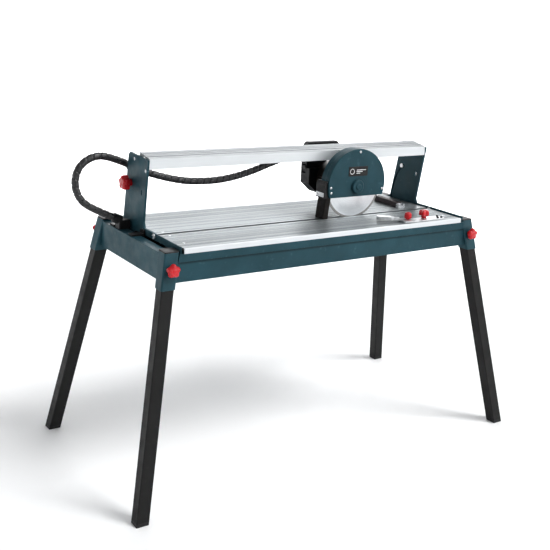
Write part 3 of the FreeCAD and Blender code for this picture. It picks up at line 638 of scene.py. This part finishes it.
def lobed_radius(angle, radius):
    """The outline of a hub ringed with round lobes, with soft valleys between them."""
    lobe = 0.36 * radius
    ring = radius - lobe
    turn = 2 * math.pi / KNOB_LOBES
    off = (angle + turn / 2) % turn - turn / 2
    reach = ring * math.cos(off)
    inside = lobe ** 2 - (ring * math.sin(off)) ** 2
    lobed = reach + math.sqrt(inside) if inside > 0 else 0.0
    valley = 0.82 * radius
    blend_width = 0.10 * radius
    difference = lobed - valley
    return valley + 0.5 * (difference + math.sqrt(difference ** 2 + blend_width ** 2))


def grooved_radius(angle, radius):
    """The outline of a round grip with narrow finger grooves."""
    return radius - GROOVE_SINK * max(0.0, math.cos(angle * KNOB_GROOVES)) ** 6


def knob_levels(length, grip):
    """Rows of height, share of the radius where round, 1 where shaped, and inset of the shaped edge."""
    levels = [(0.0, 0.50, 0.0, 0.0), (grip - 0.0012, 0.50, 0.0, 0.0), (grip - 0.0002, 0.56, 0.0, 0.0)]
    levels += [(grip, 0.0, 1.0, -0.0022), (grip + 0.0006, 0.0, 1.0, -0.0010), (grip + 0.0020, 0.0, 1.0, 0.0)]
    for drop, inset in ((0.0095, 0.0), (0.0070, -0.0005), (0.0045, -0.0016), (0.0026, -0.0032),
                        (0.0013, -0.0052)):
        levels.append((length - drop, 0.0, 1.0, inset))
    for drop, plain in ((0.0008, 0.50), (0.0012, 0.44), (0.0010, 0.38), (0.0003, 0.33), (0.0, 0.18)):
        levels.append((length - drop, plain, 0.0, 0.0))
    return levels


def make_knob(name, node, body, base, axis, radius, length, outline=lobed_radius, collar=0.30):
    """A hand knob: round collar, shaped grip with rounded edges, domed top with a small raised cap."""
    first, second = side_axes(axis)
    rings = []
    for height, plain, lobed, inset in knob_levels(length, collar * length):
        ring = []
        for index in range(KNOB_SEGMENTS):
            angle = 2 * math.pi * index / KNOB_SEGMENTS
            reach = plain * radius
            if lobed:
                reach = outline(angle, radius) + inset
            ring.append(base + axis * height + radial(first, second, angle) * reach)
        rings.append(ring)
    verts, faces = loft(rings)
    piece = new_piece(name, verts, faces, "red_plastic", body, sharp_angle=50)
    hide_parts(node)


def make_threaded_stud(name, body, base, axis, length):
    """The knob's steel screw, with its thread, going on from the knob's base into the socket."""
    first, second = side_axes(axis)
    step = THREAD_PITCH / THREAD_STEPS
    rings = []
    for number in range(int(length / step) + 1):
        ring = []
        for index in range(THREAD_SIDES):
            share = index / THREAD_SIDES
            phase = (number * step / THREAD_PITCH + share) % 1.0
            reach = STUD_RADIUS - THREAD_DEPTH * abs(2 * phase - 1)
            outward = radial(first, second, 2 * math.pi * share)
            ring.append(base + axis * (number * step) + outward * reach)
        rings.append(ring)
    verts, faces = loft(rings)
    return new_piece(name, verts, faces, "zinc_steel", body)


def joint_named(name):
    return next(joint for joint in frame["joints"] if joint["name"] == name)


def make_leg_knob(corner):
    joint = joint_named(corner + "_knob_turn")
    base = Vector(joint["pos_m"])
    axis = Vector(joint["axis"])
    body = corner + "_knob"
    low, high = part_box("leg_knob_" + corner)
    outer, inner = (high[1], low[1]) if axis.y > 0 else (low[1], high[1])
    make_knob("star_knob_" + corner, "leg_knob_" + corner, body, base, axis, (high[0] - low[0]) / 2,
              abs(outer - base.y))
    make_threaded_stud("leg_screw_" + corner, body, base + axis * STUD_OVERLAP, -axis,
                       abs(inner - base.y) + STUD_OVERLAP)


def make_tilt_knob(side):
    joint = joint_named(side + "_tilt_knob_turn")
    axis = Vector(joint["axis"])
    low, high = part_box("tilt_knob_" + side)
    base = Vector(joint["pos_m"])
    base.x = low[0] if axis.x > 0 else high[0]
    make_knob("star_knob_tilt_" + side, "tilt_knob_" + side, side + "_tilt_knob", base, axis,
              (high[2] - low[2]) / 2, high[0] - low[0])


def make_gauge_knob(name, node, body, joint, **shape):
    low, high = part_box(node)
    base = Vector(joint_named(joint)["pos_m"])
    base.z = low[2]
    make_knob(name, node, body, base, Z, (high[1] - low[1]) / 2, high[2] - low[2], **shape)


def make_knobs():
    for corner in ("front_left", "front_right", "rear_left", "rear_right"):
        make_leg_knob(corner)
    for side in ("left", "right"):
        make_tilt_knob(side)
    make_gauge_knob("star_gauge_clamp_knob", "gauge_clamp_knob", "gauge_knob", "gauge_knob_turn")
    make_gauge_knob("grooved_gauge_arm_knob", "gauge_arm_knob", "lever_knob", "lever_knob_turn",
                    outline=grooved_radius, collar=0.12)


make_knobs()


# ---- screws with a cross recess ----
def turned(profile, base, axis, segments=32):
    """Rings of a turned shape, from (height, radius) pairs along an axis."""
    first, second = side_axes(axis)
    rings = []
    for height, radius in profile:
        ring = []
        for index in range(segments):
            angle = 2 * math.pi * index / segments
            ring.append(base + axis * height + radial(first, second, angle) * radius)
        rings.append(ring)
    return rings


def cross_cutter(base, axis, width, reach, depth):
    """Two crossed blades that cut a screw's recess, from base down against the axis."""
    first, second = side_axes(axis)
    verts = []
    outline = [(reach, width), (width, width), (width, reach), (-width, reach), (-width, width),
               (-reach, width), (-reach, -width), (-width, -width), (-width, -reach), (width, -reach),
               (width, -width), (reach, -width)]
    for height, scale in ((0.002, 1.15), (-depth, 0.55)):
        for a, b in outline:
            verts.append(base + axis * height + (first * a + second * b) * scale)
    count = len(outline)
    return loft([verts[:count], verts[count:]])


def screw_profile(head_height, head_radius, flush):
    """The (height, radius) line of a countersunk or a domed head, from its shank up."""
    if flush:
        return [(-0.006, 0.4 * head_radius), (0.0, 0.45 * head_radius),
                (head_height - 0.0004, head_radius), (head_height, 0.94 * head_radius)]
    return [(-0.004, 0.45 * head_radius), (0.0, 0.45 * head_radius), (0.0, head_radius),
            (0.45 * head_height, head_radius), (0.75 * head_height, 0.90 * head_radius),
            (0.93 * head_height, 0.66 * head_radius), (head_height, 0.35 * head_radius)]


def make_screws(name, node, axis, slot, body, head_height, head_radius, flush):
    """Cross-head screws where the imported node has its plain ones, outward along the axis."""
    verts = []
    faces = []
    cutter_verts = []
    cutter_faces = []
    along = max(range(3), key=lambda index: abs(axis[index]))
    profile = screw_profile(head_height, head_radius, flush)
    for low, high in islands(node):
        face = high[along] if axis[along] > 0 else low[along]
        base = (low + high) / 2
        base[along] = face
        base -= axis * head_height
        add_shape(verts, faces, loft(turned(profile, base, axis)))
        recess = cross_cutter(base + axis * head_height, axis, 0.11 * head_radius, 0.52 * head_radius,
                              0.6 * head_height)
        add_shape(cutter_verts, cutter_faces, recess)
    piece = new_piece(name, verts, faces, slot, body)
    cutter = new_piece(name + "_cutter", cutter_verts, cutter_faces, slot, body, smooth=False)
    modifier = piece.modifiers.new("recess", "BOOLEAN")
    modifier.operation = "DIFFERENCE"
    modifier.solver = "EXACT"
    modifier.object = cutter
    bpy.context.view_layer.update()
    apply_modifiers(piece)
    bpy.data.objects.remove(cutter)
    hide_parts(node)


# ---- label on the guard ----
CORNER_STEPS = 6
MARK_RISE = 0.0003


def rounded_plate(centre, across, up, width, height, corner, thickness, outward):
    """A flat plate with round corners, standing out from its centre."""
    outline = []
    for sign_x, sign_y, start in ((1, 1, 0), (-1, 1, 90), (-1, -1, 180), (1, -1, 270)):
        for index in range(CORNER_STEPS + 1):
            angle = math.radians(start + 90 * index / CORNER_STEPS)
            outline.append((sign_x * (width / 2 - corner) + corner * math.cos(angle),
                            sign_y * (height / 2 - corner) + corner * math.sin(angle)))
    rings = []
    for rise in (0.0, thickness):
        rings.append([centre + across * a + up * b + outward * rise for a, b in outline])
    return loft(rings)


def make_label():
    """A dark plate with softened edges that carries a plain ring and three bars."""
    low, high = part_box("guard_cover")
    blade_low, blade_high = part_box("saw_blade")
    face = islands("guard_screws")[0][0].y + 0.0022
    centre = Vector(((low[0] + high[0]) / 2, face, (blade_low[2] + blade_high[2]) / 2 + 0.053))
    out = -Y
    plate = new_piece("label_plate", *rounded_plate(centre, X, Z, 0.082, 0.033, 0.003, 0.0010, out),
                      "black_plastic", "saw_head")
    bevel_plate(plate)
    lifted = centre + out * 0.0009
    verts = []
    faces = []
    bars = [(0.012, 0.0045, 0.040, 0.0022), (0.005, -0.0010, 0.026, 0.0022), (0.000, -0.0065, 0.016, 0.0022)]
    for along, rise, width, height in bars:
        spot = lifted + X * along + Z * rise
        add_shape(verts, faces, rounded_plate(spot, X, Z, width, height, height * 0.45, MARK_RISE, out))
    section = [(0.0, 0.0095), (MARK_RISE, 0.0095), (MARK_RISE, 0.0078), (0.0, 0.0078)]
    circle = turned(section, lifted - X * 0.026, out, 40)
    add_shape(verts, faces, loft(circle + [circle[0]], closed_ends=False))
    new_piece("label_marks", verts, faces, "cast_aluminium", "saw_head", smooth=False)


make_label()
make_screws("guard_cross_screws", "guard_screws", -Y, "zinc_steel", "saw_head", 0.0022, 0.0044, False)
make_screws("table_cross_screws", "table_screws", Z, "zinc_steel", "frame", 0.0020, 0.0044, True)


# ---- splash flap and its clamp plate ----
FLAP_LEAN = 0.008
FLAP_LEVELS = 24
FLAP_ROUND = 0.0025
FLAP_SLOT = 0.004
FLAP_GROOVES = 6
FLAP_SINK = 0.0009


def flap_section(left, right, notch, front, middle, rear, z):
    """One level of the flap: rounded corners, the blade's notch, and grooves down its left face."""
    front_round = front + FLAP_ROUND
    rear_round = rear - FLAP_ROUND
    ring = [(left + FLAP_ROUND, front), (right - FLAP_ROUND, front), (right, front_round),
            (right, middle - FLAP_SLOT), (notch, middle - FLAP_SLOT), (notch, middle + FLAP_SLOT),
            (right, middle + FLAP_SLOT), (right, rear_round), (right - FLAP_ROUND, rear),
            (left + FLAP_ROUND, rear), (left, rear_round)]
    for index in range(FLAP_GROOVES):
        y = rear_round - (rear - front - 2 * FLAP_ROUND) * (index + 0.5) / FLAP_GROOVES
        ring += [(left, y + 0.0016), (left + FLAP_SINK, y + 0.0008), (left + FLAP_SINK, y - 0.0008),
                 (left, y - 0.0016)]
    ring.append((left, front_round))
    return [Vector((x, y, z)) for x, y in ring]


def make_flap():
    """A thick rubber flap, slightly bowed, with a slot for the blade near its top."""
    low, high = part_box("splash_flap")
    blade_low, blade_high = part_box("saw_blade")
    hub = ((blade_low[0] + blade_high[0]) / 2, (blade_low[2] + blade_high[2]) / 2)
    clear = (blade_high[0] - blade_low[0]) / 2 + 0.003
    middle = (blade_low[1] + blade_high[1]) / 2
    thick = high[0] - low[0] - FLAP_LEAN
    rings = []
    for number in range(FLAP_LEVELS + 1):
        share = number / FLAP_LEVELS
        z = low[2] + (high[2] - low[2]) * share
        left = low[0] + FLAP_LEAN * share - 0.0004 * math.sin(math.pi * share)
        right = left + thick - 0.0006 * math.sin(math.pi * share) ** 2
        edge = hub[0] - math.sqrt(clear ** 2 - (hub[1] - z) ** 2)
        rings.append(flap_section(left, right, min(right - 0.0004, edge), low[1], middle, high[1], z))
    piece = new_piece("splash_flap_rubber", *loft(rings), "flap_rubber", "saw_head", sharp_angle=30)
    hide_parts("splash_flap")
    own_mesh(piece)


def make_flap_clamp():
    """The steel plate that holds the flap to the guard, with a rivet at each end."""
    low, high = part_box("flap_holder")
    centre = Vector((low[0], (low[1] + high[1]) / 2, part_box("splash_flap")[1][2] + 0.011))
    plate = new_piece("flap_clamp_plate", *rounded_plate(centre, Y, Z, 0.044, 0.015, 0.002, 0.0012, -X),
                      "zinc_steel", "saw_head")
    bevel_plate(plate)
    for name, shift in (("front", -0.015), ("rear", 0.015)):
        base = centre + Y * shift - X * 0.0010
        rivet = turned([(0.0, 0.0034), (0.0006, 0.0033), (0.0013, 0.0024), (0.0016, 0.0010)], base, -X)
        new_piece("flap_rivet_" + name, *loft(rivet), "zinc_steel", "saw_head")


make_flap()
make_flap_clamp()


# ---- motor cooling fins ----
FIN_COUNT = 23
FIN_START = -192
FIN_SPACING = 9.0
FIN_OUTLINE = [(-0.0016, -0.0012), (-0.0016, 0.0006), (-0.0009, 0.0022), (0.0009, 0.0022),
               (0.0016, 0.0006), (0.0016, -0.0012)]
FIN_TAPER = 0.0016


def make_fins():
    """Axial fins on the lower half of the motor housing, ahead of the switch box."""
    low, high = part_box("motor_end_cap")
    centre = Vector(((low[0] + high[0]) / 2, 0, (low[2] + high[2]) / 2))
    radius = (high[2] - low[2]) / 2
    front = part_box("motor_housing")[0][1] + 0.010
    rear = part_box("switch_box")[0][1] - 0.012
    verts = []
    faces = []
    for index in range(FIN_COUNT):
        angle = math.radians(FIN_START + index * FIN_SPACING)
        out = Vector((math.cos(angle), 0, math.sin(angle)))
        side = Vector((-math.sin(angle), 0, math.cos(angle)))
        rings = []
        for y, drop in ((front, FIN_TAPER), (front + 0.003, 0.0), (rear - 0.003, 0.0), (rear, FIN_TAPER)):
            rings.append([centre + Y * y + side * a + out * (radius + b - (drop if b > 0 else 0.0))
                          for a, b in FIN_OUTLINE])
        add_shape(verts, faces, loft(rings))
    new_piece("motor_fins", verts, faces, "motor_paint", "saw_head", sharp_angle=25)


make_fins()


# ---- small bolts on the gauge ----
def make_gauge_bolts():
    """Socket-head bolts at the right end of the gauge's base, with a round recess."""
    low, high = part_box("gauge_base")
    top = low[2] + 0.004
    spots = [(high[0] - 0.009, low[1] + 0.009), (high[0] - 0.026, low[1] + 0.009),
             (high[0] - 0.012, high[1] - 0.010)]
    profile = [(0.0, 0.0042), (0.0036, 0.0042), (0.0042, 0.0037), (0.0042, 0.0021), (0.0018, 0.0020)]
    for number, (x, y) in enumerate(spots, 1):
        rings = turned(profile, Vector((x, y, top)), Z, 36)
        new_piece("gauge_bolt_%d" % number, *loft(rings), "black_plastic", "gauge")


make_gauge_bolts()


# ---- rivets in the fixed end plates ----
RIVET_SPOTS = ((0.066, 0.993), (-0.013, 0.968))


def make_plate_rivets():
    """Domed rivet heads in the two round holes of each fixed end plate."""
    profile = [(0.0, 0.0052), (0.0009, 0.0052), (0.0016, 0.0040), (0.0020, 0.0018)]
    for side, outward in (("left", -X), ("right", X)):
        low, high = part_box(side + "_end_bracket")
        face = low[0] if side == "left" else high[0]
        for number, (y, z) in enumerate(RIVET_SPOTS, 1):
            base = Vector((face, y, z)) - outward * 0.0005
            rings = turned(profile, base, outward)
            new_piece("%s_plate_rivet_%d" % (side, number), *loft(rings), "zinc_steel", "frame")


make_plate_rivets()


# ---- studio: a pale floor that sweeps up into a round wall, soft lights ----
SWEEP_FLOOR = 5.0
SWEEP_COVE = 1.6
SWEEP_HEIGHT = 3.6
SWEEP_SIDES = 96


def sweep_profile():
    """The (radius, height) line of the floor, its cove and the wall."""
    line = [(0.6, 0.0), (1.6, 0.0), (3.0, 0.0)]
    for step in range(13):
        angle = math.pi / 2 * step / 12
        line.append((SWEEP_FLOOR + SWEEP_COVE * math.sin(angle), SWEEP_COVE * (1 - math.cos(angle))))
    line.append((SWEEP_FLOOR + SWEEP_COVE, SWEEP_HEIGHT))
    return line


def make_floor():
    look, tree, shader = new_material("pale_floor", 0.75)
    tint = mixed(tree, span(tree, noise(tree, 0.7, 3.0), 0.3, 0.7), (0.88, 0.885, 0.89), (0.91, 0.91, 0.91))
    tree.links.new(tint, shader.inputs["Base Color"])
    bump(tree, shader, noise(tree, 90.0, 2.0), 0.0002)
    verts = [(0.0, 0.0, 0.0)]
    faces = []
    profile = sweep_profile()
    for radius, height in profile:
        for side in range(SWEEP_SIDES):
            angle = 2 * math.pi * side / SWEEP_SIDES
            verts.append((radius * math.cos(angle), radius * math.sin(angle), height))
    for side in range(SWEEP_SIDES):
        after = (side + 1) % SWEEP_SIDES
        faces.append((0, 1 + side, 1 + after))
        for level in range(len(profile) - 1):
            low = 1 + level * SWEEP_SIDES
            high = low + SWEEP_SIDES
            faces.append((low + side, high + side, high + after, low + after))
    mesh = bpy.data.meshes.new("floor")
    mesh.from_pydata(verts, [], faces)
    for polygon in mesh.polygons:
        polygon.use_smooth = True
    floor = bpy.data.objects.new("floor", mesh)
    mesh.materials.append(look)
    bpy.context.scene.collection.objects.link(floor)


def make_sun(name, towards, strength, spread):
    data = bpy.data.lights.new(name, "SUN")
    data.energy = strength
    data.angle = math.radians(spread)
    lamp = bpy.data.objects.new(name, data)
    lamp.rotation_euler = Vector(towards).to_track_quat("-Z", "Y").to_euler()
    bpy.context.scene.collection.objects.link(lamp)


def make_softbox(name, place, aim, size, power):
    data = bpy.data.lights.new(name, "AREA")
    data.shape = "RECTANGLE"
    data.size, data.size_y = size
    data.energy = power
    lamp = bpy.data.objects.new(name, data)
    lamp.location = place
    lamp.rotation_euler = (Vector(aim) - Vector(place)).to_track_quat("-Z", "Y").to_euler()
    lamp.visible_camera = False
    bpy.context.scene.collection.objects.link(lamp)


def make_studio():
    make_floor()
    world = bpy.data.worlds.new("studio")
    world.use_nodes = True
    background = world.node_tree.nodes["Background"]
    background.inputs["Color"].default_value = (0.93, 0.95, 0.97, 1)
    background.inputs["Strength"].default_value = 0.34
    bpy.context.scene.world = world
    make_sun("key", (-0.62, 0.66, -1.15), 1.75, 24)
    make_softbox("rear_box", (1.6, 3.6, 2.9), (0, 0, 0.85), (4.0, 1.8), 35)
    make_softbox("front_box", (2.4, -3.6, 1.5), (0.1, 0, 0.7), (3.2, 1.8), 45)
    make_softbox("wall_box", (2.2, 3.0, 3.2), (4.2, 5.7, 1.0), (6.0, 0.6), 230)
    settings = bpy.context.scene.view_settings
    settings.view_transform = "Standard"
    settings.look = "Medium High Contrast"


make_studio()
